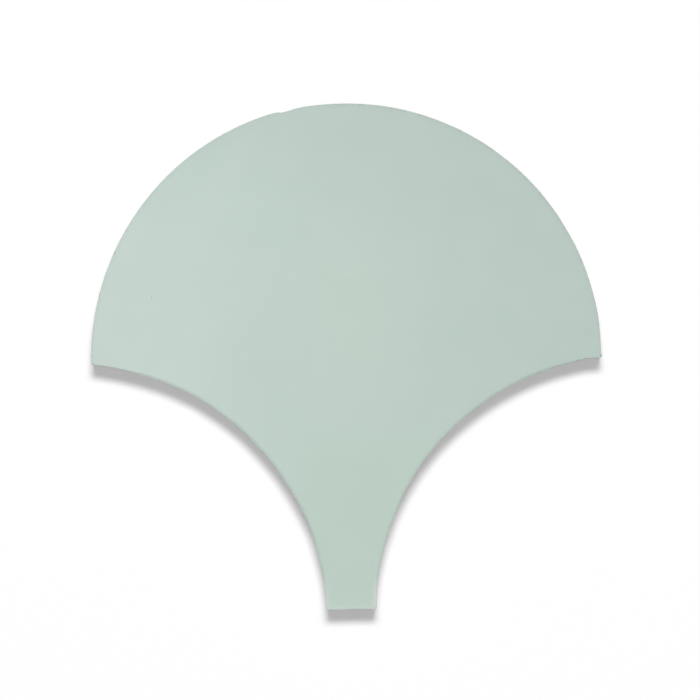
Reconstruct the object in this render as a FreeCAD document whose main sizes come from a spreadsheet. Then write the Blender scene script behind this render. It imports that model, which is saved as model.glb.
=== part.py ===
import FreeCAD, Part
import math
import os

import Sketcher

# A fish scale tile, lying face up.
#
# The face is a fan: a half-round head with a hollow flank on each side that narrows to a short,
# flat foot. Each flank is part of a circle that runs one grout joint outside the round head of
# a neighbouring tile, so rows of these tiles nest. The tile is pressed in one piece in a mould.
# The mould's walls lean, so the back is a little smaller all round than the face.
#
# Frame: +X across the tile, +Y towards the top of the round head, +Z up and out of the face.
# The origin is the centre of the head's circle, on the back of the tile.
# All lengths are millimetres.

NODE = "fish_scale_tile"

# How near a face or an edge has to be to a plane to count as in it.
LEVEL = 1e-4

# A sketch numbers the start, end and centre of a piece 1, 2 and 3, and its own axes -1 and -2. Its
# origin is the start of ROOT, the axis across.
START, END, CENTRE = range(1, 4)
ROOT, VERTICAL_AXIS = range(-1, -3, -1)

# The driving dimensions: name, value and what it is.
SIZES = [
    ("head_radius", 100.0, "radius of the round head"),
    ("neck_width", 18.5, "narrowest width between the two flanks, where they run straight down"),
    ("joint_width", 1.5, "grout joint between a flank and the neighbouring head"),
    ("foot_gap", 3.3, "how far the foot stops above the centres of the neighbouring heads"),
    ("tile_thickness", 16.0, "from the back to the face"),
    ("back_inset", 0.3, "how much further in the back's edge lies than the face's"),
    ("back_corner_radius", 0.2, "rounding of the four corners at the back, where it is least"),
    ("arris_radius", 0.2, "rounding of the edge round the face"),
]


def make_sheet(doc):
    """The spreadsheet that holds every driving dimension under its own name."""
    sheet = doc.addObject("Spreadsheet::Sheet", "sizes")
    for row, (name, value, meaning) in enumerate(SIZES, start=1):
        sheet.set(f"A{row}", name)
        sheet.set(f"B{row}", str(value))
        sheet.set(f"C{row}", meaning)
        sheet.setAlias(f"B{row}", name)
    doc.recompute()
    return sheet


def origin_plane(body, role):
    """The body's own origin plane with this role."""
    return next(f for f in body.Origin.OriginFeatures if f.Role == role)


def start_places(sheet):
    """Sizes and places near the answer, for the constraint solver to start from."""
    flank_radius = sheet.head_radius + sheet.joint_width
    across = flank_radius + sheet.neck_width / 2
    foot_turn = math.asin(sheet.foot_gap / flank_radius)
    return {
        "corner_radius": sheet.back_corner_radius + sheet.back_inset,
        "flank_radius": flank_radius,
        "across": across,
        "foot_x": across - flank_radius * math.cos(foot_turn),
        "foot_y": sheet.foot_gap - flank_radius,
        "foot_turn": foot_turn,
        "tip_turn": math.acos((across - sheet.head_radius) / flank_radius),
    }


def draw_pieces(sketch, sheet, near):
    """Draws the outline's eight pieces and gives the number of each by its name."""
    left_turn, down_turn, right_turn = math.pi, 1.5 * math.pi, 2 * math.pi
    corner = near["corner_radius"]
    tip_x = sheet.head_radius - corner
    toe_x = near["foot_x"] - corner
    toe_y = near["foot_y"] + corner

    def arc(x, y, radius, start_turn, end_turn):
        circle = Part.Circle(FreeCAD.Vector(x, y, 0), FreeCAD.Vector(0, 0, 1), radius)
        return sketch.addGeometry(Part.ArcOfCircle(circle, start_turn, end_turn))

    def flank(side, start_turn, end_turn):
        radius = near["flank_radius"]
        return arc(side * near["across"], -radius, radius, start_turn, end_turn)

    foot_line = Part.LineSegment(
        FreeCAD.Vector(-toe_x, near["foot_y"], 0), FreeCAD.Vector(toe_x, near["foot_y"], 0)
    )
    return {
        "head": arc(0, 0, sheet.head_radius, 0, math.pi),
        "left_tip": arc(-tip_x, 0, corner, left_turn, down_turn),
        "left_flank": flank(-1, near["foot_turn"], near["tip_turn"]),
        "left_toe": arc(-toe_x, toe_y, corner, left_turn, down_turn),
        "foot": sketch.addGeometry(foot_line),
        "right_toe": arc(toe_x, toe_y, corner, down_turn, right_turn),
        "right_flank": flank(1, math.pi - near["tip_turn"], math.pi - near["foot_turn"]),
        "right_tip": arc(tip_x, 0, corner, down_turn, right_turn),
    }


def tie_pieces(sketch, piece):
    """Joins the outline's pieces end to end, each tangent to the next, alike left and right."""

    def tie(*terms):
        sketch.addConstraint(Sketcher.Constraint(*terms))

    tie("Coincident", piece["head"], CENTRE, ROOT, START)
    tie("Tangent", piece["head"], END, piece["left_tip"], START)
    tie("Tangent", piece["left_tip"], END, piece["left_flank"], END)
    tie("Tangent", piece["left_flank"], START, piece["left_toe"], START)
    tie("Tangent", piece["left_toe"], END, piece["foot"], START)
    tie("Tangent", piece["foot"], END, piece["right_toe"], START)
    tie("Tangent", piece["right_toe"], END, piece["right_flank"], END)
    tie("Tangent", piece["right_flank"], START, piece["right_tip"], START)
    tie("Tangent", piece["right_tip"], END, piece["head"], START)
    tie("Horizontal", piece["foot"])
    tie("Equal", piece["left_flank"], piece["right_flank"])
    tie("Symmetric", piece["left_flank"], CENTRE, piece["right_flank"], CENTRE, VERTICAL_AXIS)
    for corner in ("left_toe", "right_toe", "right_tip"):
        tie("Equal", piece["left_tip"], piece[corner])


def size_pieces(sketch, sheet, near, piece):
    """Gives the outline its radii and distances, each bound to the sheet."""
    corner_rule = "sizes.back_corner_radius + sizes.back_inset"
    flank_rule = "sizes.head_radius + sizes.joint_width"
    head, flank, foot = piece["head"], piece["left_flank"], piece["foot"]
    sized = [
        ("head_radius", "sizes.head_radius", "Radius", head, sheet.head_radius),
        ("corner_radius", corner_rule, "Radius", piece["left_tip"], near["corner_radius"]),
        ("flank_radius", flank_rule, "Radius", flank, near["flank_radius"]),
        (
            "flank_across", f"{flank_rule} + sizes.neck_width / 2",
            "DistanceX", flank, CENTRE, ROOT, START, near["across"],
        ),
        ("row_pitch", flank_rule, "DistanceY", flank, CENTRE, ROOT, START, near["flank_radius"]),
        (
            "foot_below", f"{flank_rule} - sizes.foot_gap",
            "DistanceY", foot, END, ROOT, START, -near["foot_y"],
        ),
    ]
    for name, rule, *terms in sized:
        number = sketch.addConstraint(Sketcher.Constraint(*terms))
        sketch.renameConstraint(number, name)
        sketch.setExpression(f"Constraints.{name}", rule)


def draw_outline(body, sheet):
    """The face's outline, drawn at the height of the face, with its four corners rounded."""
    sketch = body.newObject("Sketcher::SketchObject", "face_outline")
    sketch.AttachmentSupport = (origin_plane(body, "XY_Plane"), [""])
    sketch.MapMode = "FlatFace"
    sketch.setExpression("AttachmentOffset.Base.z", "sizes.tile_thickness")
    near = start_places(sheet)
    piece = draw_pieces(sketch, sheet, near)
    tie_pieces(sketch, piece)
    size_pieces(sketch, sheet, near, piece)
    return sketch


def pad_slab(body, sketch):
    """The slab under the face, as thick as the tile and with upright walls."""
    slab = body.newObject("PartDesign::Pad", "slab")
    slab.Profile = sketch
    slab.Reversed = True
    slab.setExpression("Length", "sizes.tile_thickness")
    return slab


def names(kind, members, wanted):
    """The names, such as Edge3, of the faces or edges for which wanted(member) is true."""
    return [f"{kind}{n}" for n, member in enumerate(members, start=1) if wanted(member)]


def at_face(thickness):
    """A test for a face or an edge that lies wholly in the plane of the tile's face."""
    return lambda member: member.BoundBox.ZMin > thickness - LEVEL


def tall(thickness):
    """A test for a face or an edge that runs from the back to the face."""
    return lambda member: member.BoundBox.ZLength > thickness / 2


def lean_walls(body, slab, thickness):
    """Leans the walls in towards the back, as the mould's do. The face keeps its outline."""
    leaning = body.newObject("PartDesign::Draft", "leaning_walls")
    leaning.Base = (slab, names("Face", slab.Shape.Faces, tall(thickness)))
    leaning.NeutralPlane = (slab, names("Face", slab.Shape.Faces, at_face(thickness)))
    leaning.Reversed = True
    leaning.setExpression("Angle", "atan(sizes.back_inset / sizes.tile_thickness)")
    return leaning


def ease_arris(body, leaning, thickness):
    """Rounds the edge round the face, which would chip if it were sharp."""
    eased = body.newObject("PartDesign::Fillet", "eased_arris")
    eased.Base = (leaning, names("Edge", leaning.Shape.Edges, at_face(thickness)))
    eased.setExpression("Radius", "sizes.arris_radius")
    return eased


def build_tile(doc, sheet):
    """The whole tile as one body."""
    body = doc.addObject("PartDesign::Body", NODE)
    body.Label = NODE
    sketch = draw_outline(body, sheet)
    doc.recompute()
    slab = pad_slab(body, sketch)
    doc.recompute()
    leaning = lean_walls(body, slab, sheet.tile_thickness)
    doc.recompute()
    body.Tip = ease_arris(body, leaning, sheet.tile_thickness)
    doc.recompute()
    return body


def check_document(doc, pieces):
    """Stops if any object failed to compute or any piece isn't one sound solid."""
    for item in doc.Objects:
        failed = [word for word in ("Invalid", "Error") if word in item.State]
        if failed:
            raise RuntimeError(f"{item.Name} is {failed}: {item.getStatusString()}")
    for piece in pieces:
        shape = piece.Shape
        if shape.isNull() or not shape.isValid() or len(shape.Solids) != 1:
            raise RuntimeError(f"{piece.Label} isn't one valid solid")


def main():
    doc = FreeCAD.newDocument("fish_scale_tile_document")
    sheet = make_sheet(doc)
    tile = build_tile(doc, sheet)
    pieces = [tile]
    check_document(doc, pieces)
    os.makedirs("parts", exist_ok=True)
    for piece in pieces:
        piece.Shape.exportStep(os.path.join("parts", f"{piece.Label}.step"))
        box = piece.Shape.optimalBoundingBox(True, False)
        print(
            f"{piece.Label}: {box.XLength:.2f} x {box.YLength:.2f} x {box.ZLength:.2f} mm, "
            f"{piece.Shape.Volume:.0f} mm3, {len(piece.Shape.Faces)} faces"
        )


main()
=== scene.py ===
# %% [markdown]
# # A fish scale tile
#
# A fish scale tile is pressed from pigmented cement in a fan-shaped mould. It has a half-round
# head, a hollow flank on each side and a short flat foot, so that rows of tiles nest like scales.
# This lesson starts from the tile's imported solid, which fixes its real size, and dresses it: it
# makes a finer skin with the wear of a real edge, and one cement material for face, walls and back.
#
# Everything is in metres, in the tile's own frame: +X across, +Y towards the top of the head,
# +Z out of the face. The origin is the centre of the head's circle, on the back.

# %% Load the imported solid
import math

import bpy
import numpy as np
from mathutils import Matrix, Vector


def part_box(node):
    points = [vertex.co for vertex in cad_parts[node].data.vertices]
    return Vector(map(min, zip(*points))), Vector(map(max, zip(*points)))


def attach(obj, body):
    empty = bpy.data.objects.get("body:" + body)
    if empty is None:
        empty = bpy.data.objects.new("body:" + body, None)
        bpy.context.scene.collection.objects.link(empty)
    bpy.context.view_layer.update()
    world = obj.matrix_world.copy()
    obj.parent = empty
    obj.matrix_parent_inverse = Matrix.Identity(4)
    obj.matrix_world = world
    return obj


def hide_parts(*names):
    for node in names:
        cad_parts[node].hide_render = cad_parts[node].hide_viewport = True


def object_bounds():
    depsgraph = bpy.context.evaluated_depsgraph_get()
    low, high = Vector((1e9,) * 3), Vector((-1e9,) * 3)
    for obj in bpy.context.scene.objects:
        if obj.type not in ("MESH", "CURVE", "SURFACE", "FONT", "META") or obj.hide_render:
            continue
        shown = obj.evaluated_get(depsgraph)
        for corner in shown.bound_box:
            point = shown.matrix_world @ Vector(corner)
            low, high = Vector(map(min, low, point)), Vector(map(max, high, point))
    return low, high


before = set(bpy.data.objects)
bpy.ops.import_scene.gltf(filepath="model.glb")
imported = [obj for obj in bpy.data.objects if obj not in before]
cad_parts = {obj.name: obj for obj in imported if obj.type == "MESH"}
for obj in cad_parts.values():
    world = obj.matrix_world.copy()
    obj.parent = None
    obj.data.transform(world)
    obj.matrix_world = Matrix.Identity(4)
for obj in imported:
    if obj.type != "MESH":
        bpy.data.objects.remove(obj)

NODE = "fish_scale_tile"
MM = 0.001
solid_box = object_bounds()
print("solid:", [round(side / MM, 2) for side in solid_box[1] - solid_box[0]], "mm")

# %% [markdown]
# ## The sizes
#
# The tile's size isn't written again here. The head's radius, the foot and the thickness are read
# from the solid's box. Only what a box can't tell is named: the joint between tiles, the neck, how
# far the walls lean in, and the small radii of corners and edges.

# %% The tile's sizes
low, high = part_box(NODE)
HEAD_RADIUS = (high.x - low.x) / 2
THICKNESS = high.z
FOOT_Y = low.y
JOINT = 1.5 * MM
NECK = 18.5 * MM
BACK_INSET = 0.3 * MM
CORNER_RADIUS = 0.5 * MM
ARRIS_RADIUS = 0.2 * MM
BACK_EDGE_RADIUS = 0.12 * MM
FLANK_RADIUS = HEAD_RADIUS + JOINT
FLANK_CENTRE = np.array([FLANK_RADIUS + NECK / 2, -FLANK_RADIUS])
print(f"radius of the head {HEAD_RADIUS / MM:.2f} mm and of a flank {FLANK_RADIUS / MM:.2f} mm")

# %% [markdown]
# ## The outline
#
# The outline is seven arcs and one straight foot, each tangent to the next. A corner's arc touches
# two pieces at once, so its centre lies where two circles cross. At a tip, those are the head's
# circle made smaller by the corner's radius and the flank's circle made larger by it.

# %% Where the corner arcs have their centres


def toe_centre():
    """The right toe's centre. It is one corner radius above the foot, and the distance from the
    flank's centre is the flank's radius plus the corner's, so its X follows by Pythagoras."""
    y = FOOT_Y + CORNER_RADIUS
    reach = FLANK_RADIUS + CORNER_RADIUS
    return np.array([FLANK_CENTRE[0] - math.sqrt(reach**2 - (y - FLANK_CENTRE[1]) ** 2), y])


def tip_centre():
    """The right tip's centre, by the law of cosines in the triangle of the head's centre, the
    flank's centre and itself: cos a = (p^2 + q^2 - r^2) / (2 p q), with a at the head's centre."""
    p = HEAD_RADIUS - CORNER_RADIUS
    q = math.hypot(*FLANK_CENTRE)
    r = FLANK_RADIUS + CORNER_RADIUS
    turn = math.atan2(FLANK_CENTRE[1], FLANK_CENTRE[0])
    turn += math.acos((p * p + q * q - r * r) / (2 * p * q))
    return p * np.array([math.cos(turn), math.sin(turn)])


print("right toe", toe_centre() / MM, "right tip", tip_centre() / MM)

# %% [markdown]
# Each arc is sampled on an even grid of angles and gives two arrays: its points and the normals
# that point out of the tile. A hollow arc has its normals turned round. The left half is the right
# half mirrored and reversed, so the points run once round the tile without a gap.

# %% Sample the outline
HEAD_COLUMNS, FLANK_COLUMNS, CORNER_COLUMNS, FOOT_COLUMNS = 308, 284, 15, 18
FULL_TURN = 2 * math.pi


def arc(centre, radius, start, stop, columns, side=1):
    """Points and outward normals of one arc. A point is the centre plus radius times
    (cos a, sin a), where a runs evenly from start to stop and stop itself is left out. The normal
    is (cos a, sin a), or its opposite where side is -1, for an arc that is hollow."""
    a = np.linspace(start, stop, columns, endpoint=False)
    ray = np.column_stack((np.cos(a), np.sin(a)))
    return centre + radius * ray, side * ray


def right_half():
    """Points and normals from the middle of the foot up the right flank to the top of the head."""
    toe, tip = toe_centre(), tip_centre()
    to_flank_from_toe = math.atan2(*(FLANK_CENTRE - toe)[::-1])
    to_flank_from_tip = math.atan2(*(FLANK_CENTRE - tip)[::-1])
    head_start = math.atan2(tip[1], tip[0])
    foot_x = np.linspace(0, toe[0], FOOT_COLUMNS, endpoint=False)
    foot = np.column_stack((foot_x, np.full(FOOT_COLUMNS, FOOT_Y)))
    down = np.tile([0.0, -1.0], (FOOT_COLUMNS, 1))
    runs = [
        (foot, down),
        arc(toe, CORNER_RADIUS, -math.pi / 2, to_flank_from_toe, CORNER_COLUMNS),
        arc(
            FLANK_CENTRE, FLANK_RADIUS, to_flank_from_toe + math.pi,
            to_flank_from_tip + math.pi, FLANK_COLUMNS, side=-1,
        ),
        arc(tip, CORNER_RADIUS, to_flank_from_tip, head_start, CORNER_COLUMNS),
        arc(np.zeros(2), HEAD_RADIUS, head_start, math.pi / 2, HEAD_COLUMNS),
    ]
    return np.vstack([run[0] for run in runs]), np.vstack([run[1] for run in runs])


def whole_outline():
    """The right half and then its mirror image, which runs from the top of the head back down to
    the foot. The two points on the line of symmetry are used once each."""
    points, normals = right_half()
    top = np.array([[0.0, HEAD_RADIUS]])
    up = np.array([[0.0, 1.0]])
    flip = np.array([-1.0, 1.0])
    return (
        np.vstack((points, top, points[:0:-1] * flip)),
        np.vstack((normals, up, normals[:0:-1] * flip)),
    )


outline, outward = whole_outline()
COLUMNS = len(outline)
steps = np.linalg.norm(np.roll(outline, -1, 0) - outline, axis=1)
along = np.concatenate(([0.0], np.cumsum(steps)[:-1]))
GIRTH = steps.sum()
print(f"{COLUMNS} columns, {GIRTH / MM:.1f} mm round the tile, longest step {steps.max() / MM:.3f} mm")

# %% [markdown]
# The head isn't a perfect circle. On the photo its left shoulder swells by a third of a
# millimetre, and that swelling ends just left of the top in a little step, where a flake came off
# the whole height of the edge. Two small notches lie beside it. The top, the right shoulder and the
# two tips are worn by a tenth or two. All these are pushes along the normals, as smooth functions
# of the angle round the head, so that everything below follows them.

# %% Make the head's rim uneven
# Each row is a push in millimetres, the angles between which it comes in and those between which it
# goes out. The rows are the swelling, the flake, the worn top and the worn right shoulder.
HEAD_STRETCHES = [
    (0.30, (103.8, 105.8), (163, 118)),
    (-0.42, (99.5, 103.2), (104.8, 103.6)),
    (-0.12, (72, 85), (99, 93)),
    (-0.12, (-1, 3), (36, 12)),
]
# Each row is a push in millimetres, the angle of its middle and its width.
HEAD_BUMPS = [(-0.10, 31, 6), (-0.08, 71, 5), (-0.09, 101.6, 0.45), (-0.09, 99.4, 0.45)]
RIGHT_TIP_WEAR, LEFT_TIP_WEAR = 0.24 * MM, 0.10 * MM


def rise(value, start, stop):
    """Goes from 0 to 1 while the value goes from start to stop, as 3 t^2 - 2 t^3."""
    t = np.clip((value - start) / (stop - start), 0, 1)
    return t * t * (3 - 2 * t)


def swell(value, middle, width):
    """A bump that is 1 in its middle and falls to 0 on both sides, as exp(-(distance / width)^2)."""
    return np.exp(-(((value - middle) / width) ** 2))


def add_bumps(value, bumps):
    """The sum of several bumps, each given as its height, middle and width."""
    return sum(height * swell(value, middle, width) for height, middle, width in bumps)


head_turn = np.degrees(np.arctan2(outline[:, 1], outline[:, 0]))
push = add_bumps(head_turn, HEAD_BUMPS) * MM
for size, coming, going in HEAD_STRETCHES:
    push += size * MM * rise(head_turn, *coming) * rise(head_turn, *going)
is_head = rise(outline[:, 1], -0.5 * MM, 0.5 * MM)
tip_wear = RIGHT_TIP_WEAR * rise(head_turn, 9, 2) + LEFT_TIP_WEAR * rise(head_turn, 173, 178)
push -= is_head * tip_wear
print(f"the head's rim lies {push.min() / MM:.2f} to {push.max() / MM:.2f} mm outside its circle")

# %% [markdown]
# The flanks lie a little outside their circles and wave as well, most of all near the foot. Their
# pushes go by the turn round the flank's own circle: 0 degrees at the neck and 90 beside the head's
# centre. Near the foot only the part of a push that points sideways counts, so that the foot stays
# where it is. The right tip is blunted and sags by almost half a millimetre.

# %% Make the flanks and the right tip uneven
# Each row is a push in millimetres and the turns between which it comes in.
LEFT_SLOPES = [(0.10, 88, 76), (0.20, 8, 3)]
RIGHT_SLOPES = [(0.20, 88, 76), (0.20, 44, 54), (0.20, 30, 22), (0.30, 10, 3)]
# Each row is a push in millimetres, the turn of its middle and its width.
LEFT_BUMPS = [(0.15, 74, 4), (-0.30, 20.5, 4), (-0.22, 59, 4), (-0.12, 48, 3)]
RIGHT_BUMPS = [(-0.10, 36, 4), (0.12, 14, 5)]
TIP_SAG = 0.45 * MM
FOOT_TURN = 10


def wave(turn, slopes, bumps):
    """How far a flank lies outside its circle at each turn, as the sum of its slopes and bumps."""
    return sum(size * rise(turn, *ends) for size, *ends in slopes) + add_bumps(turn, bumps)


above_neck = np.clip((outline[:, 1] + FLANK_RADIUS) / FLANK_RADIUS, 0, 1)
flank_turn = np.degrees(np.arcsin(above_neck))
on_flank = (outline[:, 1] < 0) * np.where(flank_turn < FOOT_TURN, np.abs(outward[:, 0]), 1)
left_wave = wave(flank_turn, LEFT_SLOPES, LEFT_BUMPS)
right_wave = wave(flank_turn, RIGHT_SLOPES, RIGHT_BUMPS)
flank_push = on_flank * np.where(outline[:, 0] > 0, right_wave, left_wave) * MM
outline = outline + (push + flank_push)[:, None] * outward

sag = TIP_SAG * rise(outline[:, 0], 94.5 * MM, 99.3 * MM) * rise(outline[:, 1], 2.0 * MM, -0.3 * MM)
blunt = RIGHT_TIP_WEAR * (1 - is_head) * rise(outline[:, 0], 98.3 * MM, 99.4 * MM)
outline -= np.column_stack((blunt, sag))
print(f"the flanks wave by {flank_push.min() / MM:.2f} to {flank_push.max() / MM:.2f} mm")

# %% [markdown]
# ## The skin as a grid
#
# The skin is a function of two parameters. One runs round the outline. The other runs over the
# tile's section: from the middle of the face out to its edge, round the arris, down the wall, round
# the back's edge and in to the middle of the back. Near an edge the outline moves in along its
# normals. Further in it shrinks towards the origin, which every part of the outline can see.

# %% The section from face to back
FACE_RIM = 0.42 * MM
RIM_ROWS, ARRIS_ROWS, WALL_ROWS, BACK_EDGE_ROWS = 3, 9, 29, 3
WALL_FOOT = BACK_EDGE_RADIUS
SHRINK = np.array([
    0.996, 0.988, 0.975, 0.955, 0.93, 0.9, 0.86, 0.81, 0.75, 0.68, 0.6,
    0.51, 0.42, 0.33, 0.24, 0.15, 0.07,
])
bend = np.radians(np.linspace(90, 0, ARRIS_ROWS))


def section(arris_in, arris_drop, face_rim):
    """One row for each ring: how far the outline moves in, its scale, its height and its tilt.
    The tilt is the angle of the skin's normal above the horizontal: 90 degrees on the face, 0 on
    the wall and -90 on the back. The arris's own insets and drops below the face are given."""
    face = [(face_rim, scale, THICKNESS, 90) for scale in SHRINK[::-1]]
    insets = np.linspace(face_rim, arris_in[0], RIM_ROWS, endpoint=False)
    rim = [(inset, 1, THICKNESS, 90) for inset in insets]
    arris = zip(arris_in, np.ones(ARRIS_ROWS), THICKNESS - arris_drop, np.degrees(bend))
    wall_top = THICKNESS - arris_drop[-1]
    heights = np.linspace(wall_top, WALL_FOOT, WALL_ROWS + 1)[1:]
    wall = [(BACK_INSET * (wall_top - z) / wall_top, 1, z, 0) for z in heights]
    tilts = np.linspace(0, -90, BACK_EDGE_ROWS + 1)[1:]
    turn = np.radians(tilts)
    edge = zip(
        BACK_INSET + BACK_EDGE_RADIUS * (1 - np.cos(turn)), np.ones(BACK_EDGE_ROWS),
        BACK_EDGE_RADIUS * (1 + np.sin(turn)), tilts,
    )
    back_rim = BACK_INSET + BACK_EDGE_RADIUS
    back = [(back_rim, scale, 0, -90) for scale in SHRINK]
    return np.array([*face, *rim, *arris, *wall, *edge, *back], float)


rings = section(ARRIS_RADIUS * (1 - np.cos(bend)), ARRIS_RADIUS * (1 - np.sin(bend)), FACE_RIM)
print(len(rings), "rings")

# %% [markdown]
# Round the head the arris is a quarter circle: in = r (1 - cos t) and drop = r (1 - sin t). Along
# the flanks and the foot it is worn to a wide gentle slope that ends in a fairly sharp edge. There
# the inset is w sin(t)^12, so most of the width is spent where the skin is nearly level, and the
# drop is the sum of the slopes along it. It ends in a small upright lip. The four corners keep the
# round arris, because an inset wider than a corner's own radius would fold the skin. The change
# from one to the other is slow, most of all at the tips, where the flanks run nearly towards the
# middle of the head.

# %% The worn arris
WORN_WIDTH, WORN_RIM, WORN_LIP = 0.95 * MM, 1.15 * MM, 0.04 * MM
WORN_POWER = 12
TOE_FADE, TIP_FADE = (1.0 * MM, 16.0 * MM), (6.0 * MM, 26.0 * MM)

worn_in = WORN_WIDTH * np.sin(bend) ** WORN_POWER
middle_tilt = (bend[1:] + bend[:-1]) / 2
drops = (worn_in[:-1] - worn_in[1:]) / np.tan(middle_tilt)
drops[-1] = WORN_LIP
worn_drop = np.concatenate(([0.0], np.cumsum(drops)))
worn_rings = section(worn_in, worn_drop, WORN_RIM)

mirrored = np.abs(outline[:, 0])
to_toe = np.hypot(mirrored - toe_centre()[0], outline[:, 1] - toe_centre()[1])
to_tip = np.hypot(mirrored - tip_centre()[0], outline[:, 1] - tip_centre()[1])
is_low = rise(outline[:, 1], 1.0 * MM, -1.0 * MM)
worn = is_low * rise(to_toe, *TOE_FADE) * rise(to_tip, *TIP_FADE)
print(f"the worn arris is {WORN_WIDTH / MM} mm wide and {worn_drop[-1] / MM:.2f} mm deep")

# %% [markdown]
# Towards the two poles a ring needs ever fewer columns. Each time the rings have shrunk enough,
# the next one keeps every second column, so the faces there stay about as wide as they are long.

# %% Thin the columns towards the middle
HALVINGS = [0.955, 0.81, 0.6, 0.33, 0.15]
strides = np.array([2 ** sum(scale <= limit for limit in HALVINGS) for scale in rings[:, 1]])
starts = np.concatenate(([0], np.cumsum(COLUMNS // strides)))
print("columns by ring:", COLUMNS // strides)

# %% [markdown]
# Both parameters become whole arrays: every vertex knows its ring and its column, so its place and
# the direction in which the ideal skin faces are worked out for all of them at once. The last two
# vertices are the poles, in the middle of the face and of the back.

# %% Place every vertex of the ideal skin
ring = np.repeat(np.arange(len(rings)), COLUMNS // strides)
column = np.concatenate([np.arange(0, COLUMNS, stride) for stride in strides])
worn_share = worn[column][:, None]
inset, scale, height, tilt = (rings[ring] * (1 - worn_share) + worn_rings[ring] * worn_share).T
flat = scale[:, None] * (outline[column] - inset[:, None] * outward[column])
lean = np.radians(tilt)
poles = np.array([[0, 0, THICKNESS], [0, 0, 0]])
ideal = np.vstack((np.column_stack((flat, height)), poles))
facing = np.vstack((
    np.column_stack((outward[column] * np.cos(lean)[:, None], np.sin(lean))),
    [[0, 0, 1], [0, 0, -1]],
))
round_way = np.append(along[column], [0, 0])
facing_up = facing[:, 2]
print(len(ideal), "vertices")

# %% [markdown]
# ## Smooth random relief
#
# No pressed face is a perfect plane. A sum of sine waves that run in random directions, all of
# about one wavelength, gives a smooth random surface with no grid in it. It has no seam, because it
# is worked out from the place in space.

# %% Random waves


def waves(places, wavelength, seed, count=28):
    """Smooth random values from 0 to 1. Each wave is sin(k . p + phase) with its own direction;
    k is a full turn divided by 0.75 to 1.35 wavelengths. The sum is scaled to a spread of one and
    squeezed by tanh, so that it never leaves the range."""
    rng = np.random.default_rng(seed)
    direction = rng.normal(size=(count, 3))
    direction /= np.linalg.norm(direction, axis=1)[:, None]
    turns = direction * FULL_TURN / (wavelength * rng.uniform(0.75, 1.35, count))[:, None]
    total = np.sin(places @ turns.T + rng.uniform(0, FULL_TURN, count)).sum(1)
    return 0.5 + 0.5 * np.tanh(total / math.sqrt(2 * count))


sample = waves(ideal, 20 * MM, seed=1)
print(f"waves: {sample.min():.2f} to {sample.max():.2f}, mean {sample.mean():.2f}")

# %% [markdown]
# The face was pressed against polished steel, so it is nearly flat: its hollows are a tenth of a
# millimetre deep at most and as wide as a thumb. The walls slid out of the mould, which leaves
# faint upright drag lines. The back was pressed dry and is the coarsest, except near its edge. Every
# depth is measured inwards. The walls' relief swings both ways round zero, so that the tile keeps
# its true width.

# %% How deep the skin lies under the ideal one
FACE_HOLLOW, WALL_HOLLOW, BACK_HOLLOW = 0.09 * MM, 0.09 * MM, 0.22 * MM
ARRIS_WEAR, DRAG_DEPTH = 0.05 * MM, 0.05 * MM
BACK_EDGE_SHARE = 0.3


def two_waves(wide, fine, share, seed):
    """Wide and fine waves added. The wide ones have the given share and the fine ones the rest."""
    return share * waves(ideal, wide, seed) + (1 - share) * waves(ideal, fine, seed + 1)


on_face = np.clip(facing_up, 0, 1)
on_back = np.clip(-facing_up, 0, 1)
on_wall = 1 - on_face - on_back

face_relief = FACE_HOLLOW * two_waves(70 * MM, 26 * MM, 0.65, seed=11)
wall_relief = WALL_HOLLOW * two_waves(9 * MM, 2.6 * MM, 0.6, seed=21)
back_relief = BACK_HOLLOW * two_waves(16 * MM, 6 * MM, 0.7, seed=31)
inside_back = rise(np.append(scale, [0, 0]), 1.0, 0.97)
back_relief *= BACK_EDGE_SHARE + (1 - BACK_EDGE_SHARE) * inside_back
stretched = ideal * [1, 1, 0.04]
drag_relief = DRAG_DEPTH * waves(stretched, 2.1 * MM, seed=23) * waves(ideal, 14 * MM, seed=24)
body_relief = wall_relief - WALL_HOLLOW / 2 + drag_relief - DRAG_DEPTH / 4
near_arris = swell(ideal[:, 2], THICKNESS, 0.5 * MM) * (1 - on_face**6)
arris_relief = ARRIS_WEAR * near_arris * waves(ideal, 2.4 * MM, seed=41)

relief = face_relief * on_face + body_relief * on_wall + back_relief * on_back
relief += arris_relief
print(f"relief: {relief.min() / MM:.3f} to {relief.max() / MM:.3f} mm deep")

# %% [markdown]
# ## Pores in the walls
#
# Air that was trapped in the damp mix leaves round pores on the walls. A jittered grid spreads
# them: the wall is unrolled and cut into cells, and each cell may hold one bowl at a random place.
# A vertex only has to look at its own cell and the eight round it. Pores fade out just above the
# back's edge, where half a bowl would fold the skin.

# %% Bowls on a jittered grid
PORE_CELL = 4.6 * MM
PORE_RADII = (0.45 * MM, 1.05 * MM)
PORE_SHARE = 0.55


def pores(round_way, height, seed):
    """Depth of the pores, as a share of each pore's radius. A bowl is sqrt(1 - (d / r)^2) deep at
    the distance d from its middle, and flat outside its radius r."""
    rng = np.random.default_rng(seed)
    across, up = round(GIRTH / PORE_CELL), math.ceil(THICKNESS / PORE_CELL) + 2
    width = GIRTH / across
    shift_x, shift_y, size, there = rng.random((4, across, up))
    size = PORE_RADII[0] + (PORE_RADII[1] - PORE_RADII[0]) * size**2.5
    size = np.where(there < PORE_SHARE, size, 1e-9)
    cell_x = np.floor(round_way / width).astype(int)
    cell_y = np.floor(height / PORE_CELL).astype(int)
    depth = np.zeros(len(height))
    for step_x in (-1, 0, 1):
        for step_y in (-1, 0, 1):
            x, y = cell_x + step_x, cell_y + step_y
            pick = (x % across, y % up)
            away_x = round_way - (x + shift_x[pick]) * width
            away_y = height - (y + shift_y[pick]) * PORE_CELL
            share = (away_x**2 + away_y**2) / size[pick] ** 2
            depth = np.maximum(depth, size[pick] * np.sqrt(np.clip(1 - share, 0, 1)))
    return depth


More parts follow.
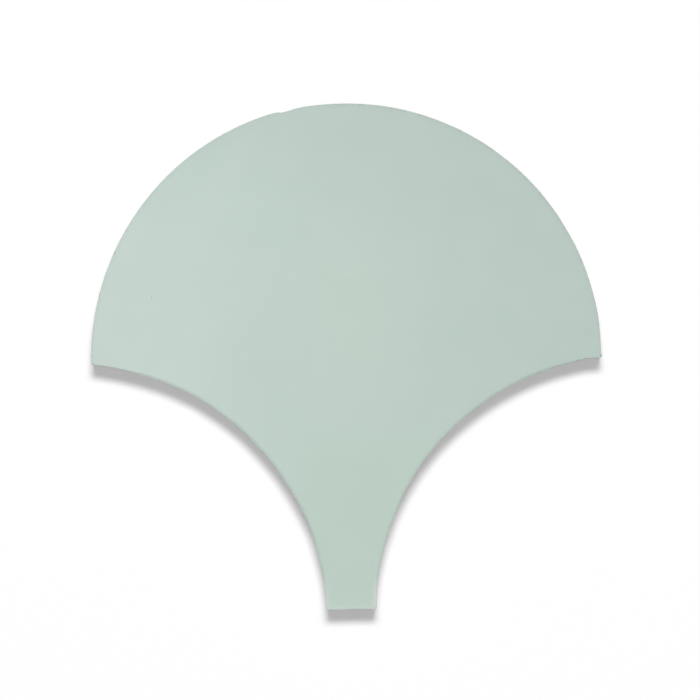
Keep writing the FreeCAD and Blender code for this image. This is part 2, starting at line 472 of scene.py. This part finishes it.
PORE_FLATNESS = 0.35
pore_depth = PORE_FLATNESS * pores(round_way, ideal[:, 2], seed=51) * on_wall**4
pore_depth *= rise(ideal[:, 2], 0.1 * MM, 1.2 * MM)
print(f"deepest pore {pore_depth.max() / MM:.2f} mm, {np.sum(pore_depth > 0)} vertices in pores")

# %% [markdown]
# ## Chips along the edges
#
# A chip is a shallow scoop. Each is cut by a ball whose middle lies outside the tile: what is
# inside the ball is pushed straight away from its middle until it lies on the ball. The photo shows
# two small nicks on the left of the head, a blunted right tip and a worn right corner of the foot.
# The many smaller ones are spread at random, and the back's edge, which nobody sees, has the
# largest.

# %% Scoop chips out of an edge
# Each row is an angle round the head, and the nick's length and depth in millimetres.
HEAD_NICKS = [(120.1, 2.2, 0.22), (154.7, 2.0, 0.30)]
# Each row is a place, a length and a depth, all in millimetres.
CORNER_CHIPS = [(99.7, -0.8, 2.6, 0.34), (10.0, -97.8, 2.0, 0.25)]


def chip_list(count, longest, deepest, seed):
    """Random chips as columns of the outline, lengths and depths. Cubing an even random number
    makes small chips common and large ones rare."""
    rng = np.random.default_rng(seed)
    size = rng.random(count) ** 3
    columns = rng.integers(0, COLUMNS, count)
    return columns, longest * (0.25 + 0.75 * size), deepest * (0.3 + 0.7 * size)


def nearest_column(x, y):
    """The column of the outline that lies nearest to this place."""
    return int(np.argmin(np.hypot(outline[:, 0] - x, outline[:, 1] - y)))


def chip_near(x, y, length, depth):
    """One chip in millimetres, as its column of the outline, its length and its depth."""
    return nearest_column(x * MM, y * MM), length * MM, depth * MM


def on_head(degrees):
    """The place on the head's rim, in millimetres, at this angle from +X."""
    turn = math.radians(degrees)
    return HEAD_RADIUS / MM * math.cos(turn), HEAD_RADIUS / MM * math.sin(turn)


def scoop(places, chips, edge_height, edge_radius, up):
    """Cuts chips out of one edge and also tells how much each vertex moved. up is 1 for the face's
    edge and -1 for the back's. A ball that leaves a scoop of length l and depth d has the radius
    l^2 / (8 d), and its middle lies that radius less d outside the edge, at 45 degrees."""
    column, length, depth = (np.asarray(part) for part in chips)
    radius = length**2 / (8 * depth)
    away = np.column_stack((outward[column], np.full(len(column), up))) / math.sqrt(2)
    inner_height = np.full(len(column), edge_height - up * edge_radius)
    inner = np.column_stack((outline[column] - edge_radius * outward[column], inner_height))
    middle = inner + (edge_radius + radius - depth)[:, None] * away
    moved = places.copy()
    for centre, reach in zip(middle, radius):
        offset = moved - centre
        distance = np.linalg.norm(offset, axis=1)
        inside = distance < reach
        moved[inside] = centre + offset[inside] * (reach / distance[inside])[:, None]
    return moved, np.linalg.norm(moved - places, axis=1)


skin = ideal - (relief + pore_depth)[:, None] * facing
nicks = [chip_near(*on_head(turn), *size) for turn, *size in HEAD_NICKS]
nicks += [chip_near(*chip) for chip in CORNER_CHIPS]
skin, nicked = scoop(skin, [np.array(part) for part in zip(*nicks)], THICKNESS, ARRIS_RADIUS, 1)
face_chips = chip_list(90, 2.6 * MM, 0.24 * MM, seed=61)
skin, chipped_face = scoop(skin, face_chips, THICKNESS, ARRIS_RADIUS, 1)
back_chips = chip_list(70, 4.5 * MM, 0.34 * MM, seed=62)
skin, chipped_back = scoop(skin, back_chips, 0, BACK_EDGE_RADIUS, -1)
chipped = nicked + chipped_face + chipped_back
skin = np.clip(skin, solid_box[0], solid_box[1])
print(f"{np.sum(chipped > 0)} vertices chipped, the deepest by {chipped.max() / MM:.2f} mm")

# %% [markdown]
# A band of painted shade darkens the face along its edge, as a rounded edge is shaded, most of all
# round the right of the head. How far a vertex lies inside the edge is its distance from the head's
# circle, or the lesser of those from the nearer flank's circle and from the foot's line. Round the
# foot the edge has no painted shade but is rubbed pale.

# %% How near each vertex is to the face's edge
EDGE_SHADE_WIDTH, LOWER_EDGE_SHADE, LEFT_EDGE_SHADE = 1.1 * MM, 0.25, 0.43
from_head = HEAD_RADIUS - np.hypot(ideal[:, 0], ideal[:, 1])
to_flank = np.column_stack((np.abs(ideal[:, 0]), ideal[:, 1])) - FLANK_CENTRE
from_flank = np.hypot(*to_flank.T) - FLANK_RADIUS
from_foot = ideal[:, 1] - FOOT_Y
# Painted shade along the edge is weaker on the left and full towards the right.
edge_shade_weight = LEFT_EDGE_SHADE + (1 - LEFT_EDGE_SHADE) * rise(ideal[:, 0], -30 * MM, 10 * MM)
head_edge_shade = edge_shade_weight * swell(from_head, 0, EDGE_SHADE_WIDTH)
near_lower_edge = swell(np.minimum(from_flank, from_foot), 0, EDGE_SHADE_WIDTH)
rubbed = near_lower_edge * rise(ideal[:, 1], -84 * MM, -91 * MM)
# rim holds the painted shade along the face's edge, from 0 to 1.
rim = np.maximum(head_edge_shade, LOWER_EDGE_SHADE * near_lower_edge) - LOWER_EDGE_SHADE * rubbed
print(f"{np.mean(rim[on_face > 0.5] > 0.1) * 100:.0f} % of the face's vertices are in the rim")

# %% [markdown]
# ## From arrays to a mesh
#
# Neighbouring rings are joined by a band of faces. Where both have the same number of columns, the
# band is made of quads. Where one has half as many, three triangles join two of its neighbour's
# steps to one of its own. A fan of triangles closes each pole. All faces run counter-clockwise seen
# from outside, so their normals point out.

# %% Join the rings


def band(first, first_count, second, second_count):
    """Faces between two rings, given by their first vertex and their number of columns."""
    count = min(first_count, second_count)
    k = np.arange(count)
    after = (k + 1) % count
    if first_count == second_count:
        return [np.column_stack((first + k, second + k, second + after, first + after))]
    fine, coarse = (first, second) if first_count > second_count else (second, first)
    a, b, c = fine + 2 * k, fine + 2 * k + 1, fine + (2 * k + 2) % (2 * count)
    d, e = coarse + k, coarse + after
    faces = [np.column_stack((a, d, b)), np.column_stack((b, d, e)), np.column_stack((b, e, c))]
    return faces if first_count > second_count else [part[:, ::-1] for part in faces]


counts = COLUMNS // strides
faces = []
for n in range(len(rings) - 1):
    faces += band(starts[n], counts[n], starts[n + 1], counts[n + 1])
k = np.arange(counts[0])
face_pole, back_pole = len(ideal) - 2, len(ideal) - 1
faces.append(np.column_stack((np.full(counts[0], face_pole), k, (k + 1) % counts[0])))
k = np.arange(counts[-1])
last = starts[len(rings) - 1]
faces.append(np.column_stack((last + (k + 1) % counts[-1], last + k, np.full(counts[-1], back_pole))))
triangles = sum(len(part) * (part.shape[1] - 2) for part in faces)
print(triangles, "triangles")

# %% [markdown]
# The vertices and faces become one mesh with smooth shading. Four values for each vertex go with
# it, from 0 to 1: how chipped it is, how deep in a pore, how much painted shade lies along the
# face's edge and how rubbed. The material reads them by name.

# %% Make the tile's mesh
mesh = bpy.data.meshes.new("pressed_tile")
mesh.from_pydata(skin, [], [face for part in faces for face in part.tolist()])
mesh.polygons.foreach_set("use_smooth", np.ones(len(mesh.polygons), bool))
FULL_CHIP, FULL_PORE = 0.1 * MM, 0.2 * MM
layers = {"chipped": chipped / FULL_CHIP, "pore": pore_depth / FULL_PORE, "rim": rim, "rubbed": rubbed}
for name, values in layers.items():
    layer = mesh.attributes.new(name, "FLOAT", "POINT")
    layer.data.foreach_set("value", np.clip(values, 0, 1).astype(np.float32))
mesh.update()
tile = bpy.data.objects.new("pressed_tile", mesh)
bpy.context.scene.collection.objects.link(tile)
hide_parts(NODE)
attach(tile, "root")
print("mesh sound:", not mesh.validate(verbose=True), len(mesh.vertices), "vertices")

# %% [markdown]
# ## The cement
#
# The face is a slip of white cement, marble powder and pigment, 3 to 4 mm thick when it is poured.
# Behind it is a damp mix of grey cement and sand, pressed into it so that both set as one stone.
# One material covers all of it and tells the places apart by their height in the tile.
#
# Materials are built from nodes, and a few small helpers keep the cells short. One adds a node and
# wires or sets its inputs, and the others mix, tint, calculate and remap.

# %% Helpers for nodes
cement = bpy.data.materials.new("pressed_cement")
cement.use_nodes = True
cement_nodes = cement.node_tree
cement_nodes.nodes.clear()


def add(kind, inputs=(), tree=cement_nodes, **settings):
    """Adds one node. An input is set to a value, or wired if it is given another node's output."""
    node = tree.nodes.new("ShaderNode" + kind)
    for name, value in settings.items():
        setattr(node, name, value)
    for name, value in dict(inputs).items():
        if isinstance(value, bpy.types.NodeSocket):
            tree.links.new(value, node.inputs[name])
        else:
            node.inputs[name].default_value = value
    return node


def blend(factor, first, second, tree=cement_nodes, kind="RGBA", how="MIX"):
    """Goes from the first value or colour to the second as the factor goes from 0 to 1."""
    a, b, out = {"RGBA": (6, 7, 2), "FLOAT": (2, 3, 0)}[kind]
    settings = {"data_type": kind, "clamp_factor": True}
    if kind == "RGBA":
        settings["blend_type"] = how
    return add("Mix", {0: factor, a: first, b: second}, tree, **settings).outputs[out]


def maths(how, first, second=0.0, third=0.0):
    """One sum with numbers or sockets."""
    return add("Math", {0: first, 1: second, 2: third}, operation=how).outputs[0]


def tint(base, target, mask, strength):
    """Moves the base towards the target colour by the mask times the strength."""
    return blend(maths("MULTIPLY", mask, strength), base, target)


def ramp(value, start, stop, low=0.0, high=1.0, form="SMOOTHSTEP"):
    """Rises smoothly, or evenly if form is LINEAR, from low to high while the value goes from
    start to stop."""
    inputs = {"Value": value, "From Min": start, "From Max": stop, "To Min": low, "To Max": high}
    return add("MapRange", inputs, interpolation_type=form).outputs["Result"]


place = add("TexCoord").outputs["Object"]
place_parts = add("SeparateXYZ", {0: place}).outputs
height_in_tile = place_parts["Z"]


def noise(size, detail=3.0, rough=0.5, at=place):
    """Cloudy noise from 0 to 1 with features of this size in metres."""
    inputs = {"Vector": at, "Scale": 1 / size, "Detail": detail, "Roughness": rough}
    return add("TexNoise", inputs).outputs[0]


print("helpers ready:", cement.name)

# %% [markdown]
# The face's colour is a pale sea green. Pigment never spreads quite evenly, so wide soft clouds and
# smaller blotches shift it by about one percent. Light and shade are painted into it too: it is
# darker towards the right, at the top of the head and in the stem, as painted shade, and the left
# end is paler, as painted light. The middle of the face is a little warmer and paler. Very fine
# grains of marble powder make it a mineral surface and not paint.

# %% The face's colour
SEA_GREEN = (0.515, 0.624, 0.571, 1)
PALE_GREEN = (0.524, 0.633, 0.580, 1)
DEEP_GREEN = (0.506, 0.615, 0.562, 1)
WARM_GREEN = (0.541, 0.646, 0.576, 1)
PAINTED_LIGHT_LEFT_GREEN = (0.538, 0.635, 0.586, 1)
PAINTED_SHADE_RIGHT_GREEN = (0.452, 0.551, 0.506, 1)
PAINTED_SHADE_TOP_GREEN = (0.440, 0.536, 0.492, 1)
PAINTED_SHADE_STEM_GREEN = (0.478, 0.588, 0.520, 1)
GRAIN_LIGHT, GRAIN_DARK = (0.60, 0.70, 0.655, 1), (0.41, 0.51, 0.46, 1)

clouds = ramp(noise(65 * MM, 2.5), 0.32, 0.68)
blotches = ramp(noise(11 * MM, 3.0, 0.55), 0.30, 0.70)
pigment = blend(clouds, DEEP_GREEN, PALE_GREEN)
pigment = tint(pigment, SEA_GREEN, blotches, 0.35)


def ellipse(x, y, width, length, turn=0.0):
    """Distance from an ellipse's middle, which is 1 on its edge. All sizes are in millimetres. The
    Mapping node takes the middle away, turns back and divides by half the width and length."""
    centred = add("Mapping", {
        "Vector": place, "Location": (x * MM, y * MM, 0), "Rotation": (0, 0, math.radians(turn)),
        "Scale": (width * MM / 2, length * MM / 2, 1),
    }, vector_type="TEXTURE").outputs[0]
    return add("VectorMath", {0: centred}, operation="LENGTH").outputs["Value"]


patchy = ramp(noise(24 * MM, 3.0), 0.25, 0.55)
warmth = maths("MULTIPLY", ramp(ellipse(7, 15, 90, 115, 15), 1.0, 0.15), patchy)
pigment = tint(pigment, WARM_GREEN, warmth, 0.85)
# Painted light: the left end of the face is made paler, as if more light fell there.
painted_light_left = ramp(ellipse(-105, 5, 190, 170), 1.0, 0.2)
pigment = tint(pigment, PAINTED_LIGHT_LEFT_GREEN, painted_light_left, 0.9)
# Painted shade: the face is made darker evenly towards the right.
painted_shade_right = ramp(place_parts["X"], -60 * MM, 105 * MM, 0.0, 1.0, "LINEAR")
pigment = blend(painted_shade_right, pigment, PAINTED_SHADE_RIGHT_GREEN)
# Painted shade: the top of the head is made darker, most of all on its right.
up_and_right = maths("MULTIPLY_ADD", place_parts["X"], 0.35, place_parts["Y"])
painted_shade_top = ramp(up_and_right, 35 * MM, 110 * MM, 0.0, 0.5)
pigment = blend(painted_shade_top, pigment, PAINTED_SHADE_TOP_GREEN)
# Painted shade: the stem below the head is made darker.
below_head = ramp(place_parts["Y"], -22 * MM, -45 * MM)
right_of_left = ramp(place_parts["X"], -28 * MM, -8 * MM)
painted_shade_stem = maths("MULTIPLY", below_head, right_of_left)
pigment = tint(pigment, PAINTED_SHADE_STEM_GREEN, painted_shade_stem, 0.85)

powder = noise(0.55 * MM, 2.0, 0.6)
pigment = blend(ramp(powder, 0.60, 0.78, 0.0, 0.10), pigment, GRAIN_LIGHT)
pigment = blend(ramp(powder, 0.40, 0.22, 0.0, 0.09), pigment, GRAIN_DARK)
print(len(cement_nodes.nodes), "nodes so far")

# %% [markdown]
# The photo shows a few tiny marks on the left of the face: a scratch of two strokes, one dark and
# one pale, with dots below it, an upright tick and a wide faint speck. A small dark spot near the
# head's left edge is painted shade in a tiny pit. Each is an ellipse with its place, width, length
# and turn, and with how strongly it tints the pigment.

# %% Marks on the face
dark_marks = [
    (-75.86, 24.87, 0.5, 2.1, 4, 0.24),
    (-77.07, 22.94, 0.5, 0.6, 0, 0.22),
    (-55.94, 34.30, 0.7, 2.6, 0, 0.07),
    (-55.94, 33.75, 0.6, 1.2, 0, 0.12),
    (-56.66, -0.31, 2.0, 1.6, 30, 0.04),
    # Painted shade: a small dark spot near the left edge of the head, the shade inside a tiny pit.
    (-89.90, 42.52, 0.9, 0.7, 20, 0.35),
]
pale_marks = [
    (-76.64, 25.08, 0.5, 1.7, -6, 0.38),
    (-77.05, 24.11, 0.5, 0.5, 0, 0.38),
    (-75.89, 22.91, 0.5, 0.5, 0, 0.38),
]
MARK_DARK, MARK_PALE = (0.23, 0.26, 0.24, 1), (0.66, 0.72, 0.69, 1)

mark_depth = 0.0
for *shape, strength in dark_marks:
    mask = ramp(ellipse(*shape), 1.0, 0.5)
    pigment = tint(pigment, MARK_DARK, mask, strength)
    mark_depth = maths("MULTIPLY_ADD", mask, strength, mark_depth)
for *shape, strength in pale_marks:
    pigment = tint(pigment, MARK_PALE, ramp(ellipse(*shape), 1.0, 0.5), strength)
print(len(dark_marks) + len(pale_marks), "marks")

# %% [markdown]
# The backing shows on the walls below the slip, and on the back. It is paler and darker grains of
# sand in grey cement, with a few dark ones among them. Voronoi cells give each grain one random
# shade, as real sand has.

# %% The backing's colour
CEMENT_GREY = (0.405, 0.408, 0.394, 1)
CEMENT_PALE = (0.500, 0.502, 0.480, 1)
SAND_DARK, SAND_LIGHT = (0.235, 0.234, 0.222, 1), (0.60, 0.592, 0.555, 1)

backing = blend(ramp(noise(13 * MM, 4.0, 0.6), 0.32, 0.68), CEMENT_GREY, CEMENT_PALE)
grains = add("TexVoronoi", {"Vector": place, "Scale": 1 / (0.9 * MM)})
grain_shade = add("SeparateColor", {0: grains.outputs["Color"]}).outputs[0]
grain_core = ramp(grains.outputs["Distance"], 0.42, 0.18)
dark_grain = maths("MULTIPLY", ramp(grain_shade, 0.80, 0.88), grain_core)
light_grain = maths("MULTIPLY", ramp(grain_shade, 0.22, 0.14), grain_core)
backing = tint(backing, SAND_DARK, dark_grain, 0.6)
backing = tint(backing, SAND_LIGHT, light_grain, 0.6)
print(len(cement_nodes.nodes), "nodes with the backing")

# %% [markdown]
# The slip was poured first, face down, so its lower limit is level but ragged, and it bleeds into
# the backing over about a millimetre. Painted shade darkens the pores, the chips in the slip and a
# thin broken line along the edge of the face; the pores hold some dust as well, and chips in the
# backing show pale sand. Round the foot the edge is rubbed pale instead.

# %% Put slip over backing
SLIP_DEPTH = 3.6 * MM
ragged = maths("MULTIPLY", maths("SUBTRACT", noise(7 * MM, 4.0, 0.65), 0.5), 3.2 * MM)
slip_line = maths("ADD", ragged, THICKNESS - SLIP_DEPTH)
is_slip = ramp(maths("SUBTRACT", height_in_tile, slip_line), -0.45 * MM, 0.35 * MM)
colour = blend(is_slip, backing, pigment)

# The first tint is painted shade in the chips on the slip, the second painted shade and dust in the
# pores.
CHIP_SHADE_TINT, PORE_SHADE_AND_DUST_TINT = (0.43, 0.50, 0.46, 1), (0.30, 0.30, 0.285, 1)
EDGE_SHADE_TINT, RUBBED_TINT = (0.30, 0.34, 0.315, 1), (0.63, 0.68, 0.64, 1)
is_face = ramp(height_in_tile, THICKNESS - 0.45 * MM, THICKNESS - 0.2 * MM)
is_chipped, is_pore, in_edge_shade, in_rubbed = (
    add("Attribute", attribute_name=name).outputs["Fac"] for name in layers
)
is_edge_shade = maths("MULTIPLY", in_edge_shade, is_face)
is_rubbed = maths("MULTIPLY", in_rubbed, is_slip)
broken_edge_shade = ramp(noise(1.5 * MM, 3.0, 0.6), 0.40, 0.72, 0.10, 0.45)
# On the slip the chips are darkened as painted shade in the scoops; in the backing they show pale
# sand.
chip_sand_and_shade = blend(is_slip, SAND_LIGHT, CHIP_SHADE_TINT)
colour = tint(colour, chip_sand_and_shade, is_chipped, 0.45)
# The pores are darkened, as painted shade in the hollows and with some dust in them.
colour = tint(colour, PORE_SHADE_AND_DUST_TINT, is_pore, 0.5)
# Painted shade: a thin broken dark line along the face's edge.
colour = tint(colour, EDGE_SHADE_TINT, is_edge_shade, broken_edge_shade)
colour = tint(colour, RUBBED_TINT, is_rubbed, 0.45)
# Here the dirt is painted shade in the pores, the chips and along the face's edge, with some dust in
# the pores.
print(len(cement_nodes.nodes), "nodes with slip and dirt")

# %% [markdown]
# The face was pressed on steel and has a silky, slightly uneven sheen. Walls and back are matt. The
# bump follows the same split: a fine orange peel on the face, sand grains everywhere else.

# %% Sheen and fine relief
face_sheen = ramp(noise(18 * MM, 4.0, 0.6), 0.3, 0.7, 0.56, 0.64)
sheen = blend(is_face, 0.86, face_sheen, kind="FLOAT")
sheen = blend(is_chipped, sheen, 0.85, kind="FLOAT")

face_grit = maths("MULTIPLY", noise(0.9 * MM, 3.0, 0.6), 0.10)
face_grit = maths("SUBTRACT", face_grit, mark_depth)
body_grit = maths("ADD", noise(0.7 * MM, 4.0, 0.7), maths("MULTIPLY", grain_core, 0.5))
grit = blend(is_face, body_grit, face_grit, kind="FLOAT")
relief_bump = add("Bump", {"Height": grit, "Strength": 1.0, "Distance": 0.12 * MM}).outputs["Normal"]

surface = add("BsdfPrincipled", {
    "Base Color": colour, "Roughness": sheen, "Normal": relief_bump,
    "IOR": 1.5, "Specular IOR Level": 0.3,
})
add("OutputMaterial", {"Surface": surface.outputs[0]})
mesh.materials.append(cement)
print(len(cement_nodes.nodes), "nodes in the cement")

# %% [markdown]
# ## The floor
#
# The tile lies on a plain white floor. What the camera, a reflection or a refraction sees of it is
# lifted a little with plain emission, so that it is white at the level of light that suits the
# tile, while the tile's own shadow stays on it. The light that the floor sends back is unchanged.

# %% Make the floor
FLOOR_SIZE = 12.0
FLOOR_LIFT = 0.243
FLOOR_COLOUR, WHITE = (0.770, 0.770, 0.770, 1), (1, 1, 1, 1)
FLOOR_DROP = 0.02 * MM


def seen_directly(tree):
    """1 for a ray from the camera, from a glossy surface or through a clear one, otherwise 0."""
    path = add("LightPath", tree=tree).outputs
    seen = path["Is Camera Ray"]
    for ray in ("Is Glossy Ray", "Is Transmission Ray"):
        seen = add("Math", {0: seen, 1: path[ray]}, tree, operation="MAXIMUM").outputs[0]
    return seen


floor_mesh = bpy.data.meshes.new("floor")
corners = np.array([(-1, -1, 0), (1, -1, 0), (1, 1, 0), (-1, 1, 0)]) * FLOOR_SIZE / 2
floor_mesh.from_pydata(corners - [0, 0, FLOOR_DROP], [], [(0, 1, 2, 3)])
floor = bpy.data.objects.new("floor", floor_mesh)
bpy.context.scene.collection.objects.link(floor)

paint = bpy.data.materials.new("white_floor")
paint.use_nodes = True
tree = paint.node_tree
tree.nodes.clear()
lit = add("BsdfDiffuse", {"Color": FLOOR_COLOUR}, tree).outputs[0]
lift = add("Math", {0: seen_directly(tree), 1: FLOOR_LIFT}, tree, operation="MULTIPLY").outputs[0]
glow = add("Emission", {"Color": WHITE, "Strength": lift}, tree).outputs[0]
lifted = add("AddShader", {0: lit, 1: glow}, tree).outputs[0]
add("OutputMaterial", {"Surface": lifted}, tree)
floor_mesh.materials.append(paint)
print("floor", FLOOR_SIZE, "m wide")

# %% [markdown]
# ## The light
#
# A big oval lamp hangs far above the tile and leans towards the top of the picture, so that the
# shadow falls straight down it by a third of the tile's thickness. A wider, weaker lamp beside it
# makes the shadow's edge fade out slowly. A third, weaker still, leans the other way and puts a
# faint fringe up the sides of the head. A dim even sky fills the rest. The lamps' sizes set how
# soft the shadow's edge is, and their distance keeps the light even.
#
# A white surface renders as white where the lamps' and the sky's shares add up to one. A lamp of P
# watts at the distance d, which leans by the angle a, gives a level floor the share
# P cos a / (pi d)^2.

# %% Set up the lamps and the sky
PICTURE_TURN = math.radians(-1.01)
picture_up = np.array([-math.sin(PICTURE_TURN), math.cos(PICTURE_TURN), 0])
picture_right = np.array([math.cos(PICTURE_TURN), math.sin(PICTURE_TURN), 0])

LAMP_DISTANCE = 12.0
KEY_SHARE, WIDE_SHARE, LOW_SHARE, SKY_SHARE = 0.624, 0.122, 0.108, 0.148


def hang_lamp(name, lean_up, lean_right, width, length, share):
    """Hangs one oval lamp that faces the origin. The leans are how far it is moved up and right in
    the picture for each metre that it hangs above the floor."""
    towards = lean_up * picture_up + lean_right * picture_right + [0, 0, 1]
    towards /= np.linalg.norm(towards)
    data = bpy.data.lights.new(name, "AREA")
    data.shape = "ELLIPSE"
    data.size = width
    data.size_y = length
    data.energy = share * (math.pi * LAMP_DISTANCE) ** 2 / towards[2]
    lamp = bpy.data.objects.new(name, data)
    lamp.location = towards * LAMP_DISTANCE
    lamp.rotation_euler = Vector(-towards).to_track_quat("-Z", "Y").to_euler()
    bpy.context.scene.collection.objects.link(lamp)
    return lamp


hang_lamp("key_lamp", 0.347, 0.014, 3.10, 2.42, KEY_SHARE)
hang_lamp("wide_lamp", 0.368, 0.014, 7.46, 4.35, WIDE_SHARE)
hang_lamp("low_lamp", -0.15, 0.0, 4.40, 3.60, LOW_SHARE)

world = bpy.data.worlds.new("studio")
world.use_nodes = True
bpy.context.scene.world = world
tree = world.node_tree
tree.nodes.clear()
strength = blend(seen_directly(tree), SKY_SHARE, 1.0, tree, kind="FLOAT")
sky = add("Background", {"Color": WHITE, "Strength": strength}, tree)
add("OutputWorld", {"Surface": sky.outputs[0]}, tree)
print("lights:", [(lamp.name, round(lamp.energy)) for lamp in bpy.data.lights])

# %% [markdown]
# ## The camera
#
# The photo looks straight down through a long lens, because no wall of the tile shows on any side.
# The picture's width at the face follows from the head's radius in pixels, and the camera's
# distance from that width and the lens. The tile lies turned by one degree, so the camera rolls by
# as much.

# %% Place the camera
PICTURE_PIXELS = 700
HEAD_RADIUS_PIXELS = 255.55
HEAD_CENTRE_PIXELS = (346.52, 358.65)
NOMINAL_RADIUS = 100 * MM
LENS, SENSOR = 500.0, 36.0

pixel = NOMINAL_RADIUS / HEAD_RADIUS_PIXELS
picture_width = PICTURE_PIXELS * pixel
middle = PICTURE_PIXELS / 2
aim = (middle - HEAD_CENTRE_PIXELS[0]) * pixel * picture_right
aim = aim + (HEAD_CENTRE_PIXELS[1] - middle) * pixel * picture_up
distance = picture_width * LENS / SENSOR

camera_data = bpy.data.cameras.new("camera")
camera_data.lens = LENS
camera_data.sensor_width = SENSOR
camera_data.clip_end = 50.0
camera = bpy.data.objects.new("camera", camera_data)
camera.location = Vector(aim) + Vector((0, 0, THICKNESS + distance))
camera.rotation_euler = (0, 0, PICTURE_TURN)
bpy.context.scene.collection.objects.link(camera)
bpy.context.scene.camera = camera
bpy.context.scene.view_settings.view_transform = "Standard"
print(f"camera {distance:.2f} m above the face, one pixel is {pixel / MM:.3f} mm")
